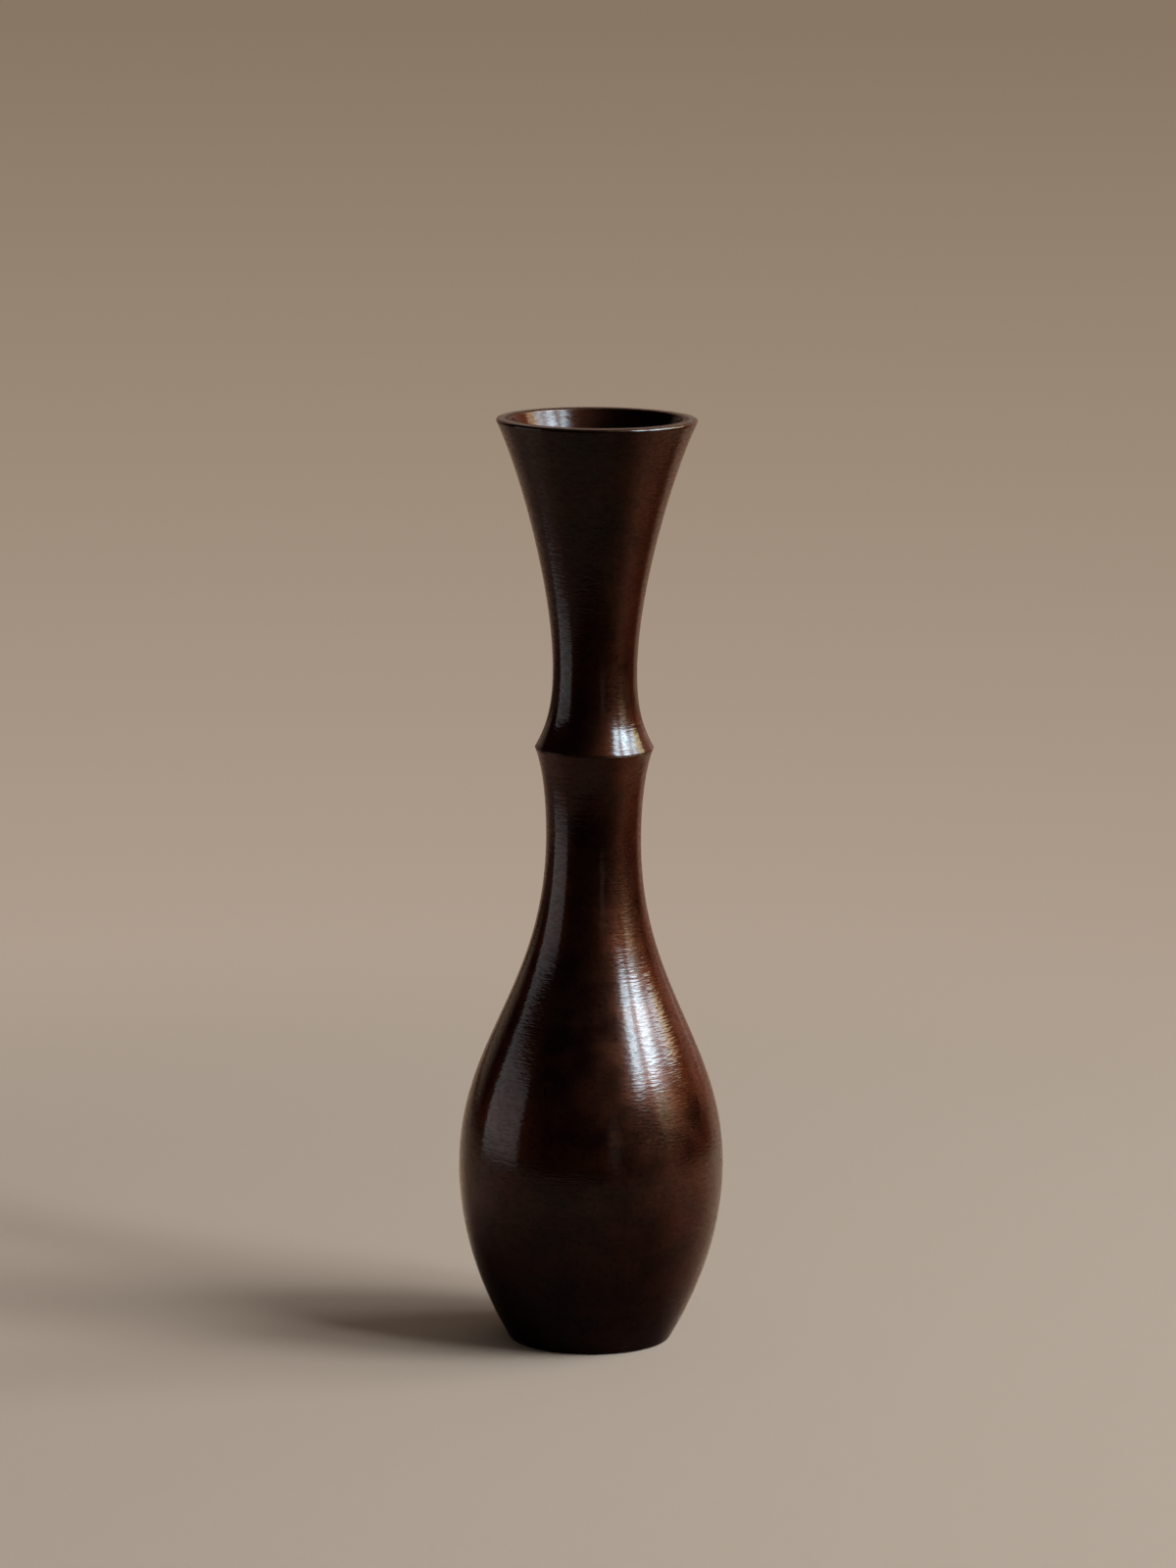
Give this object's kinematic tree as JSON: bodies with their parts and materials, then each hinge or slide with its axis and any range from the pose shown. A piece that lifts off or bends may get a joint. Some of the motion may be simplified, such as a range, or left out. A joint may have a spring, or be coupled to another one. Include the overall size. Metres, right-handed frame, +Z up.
{
  "type": "bronze bud vase",
  "caption": "Slender turned bronze bud vase with a rounded bulb, a narrow neck with a sharp ring at its middle, and a trumpet mouth.",
  "frame": {"origin": "middle of the foot, on the surface that the vase stands on", "axes": "+Z up along the vase's axis of rotation, from the foot to the mouth; +X to the right in the picture, +Y away from the viewer"},
  "size_m": [0.0712, 0.0712, 0.25],
  "materials": {
    "body_bronze": "dark red-brown patina, semi-gloss, fine lathe lines",
    "neck_bronze": "dark red-brown patina, semi-gloss, fine lathe lines",
    "plate_bronze": "brown, duller, faced on the lathe",
    "neck_braze": "bare brazing metal, hidden in the joint",
    "base_braze": "bare brazing metal, dulled"
  },
  "bodies": {
    "root": {"body_shell": "body_bronze", "neck_shell": "neck_bronze", "base_plate": "plate_bronze", "neck_braze_ring": "neck_braze", "base_braze_ring": "base_braze"}
  },
  "joints": []
}
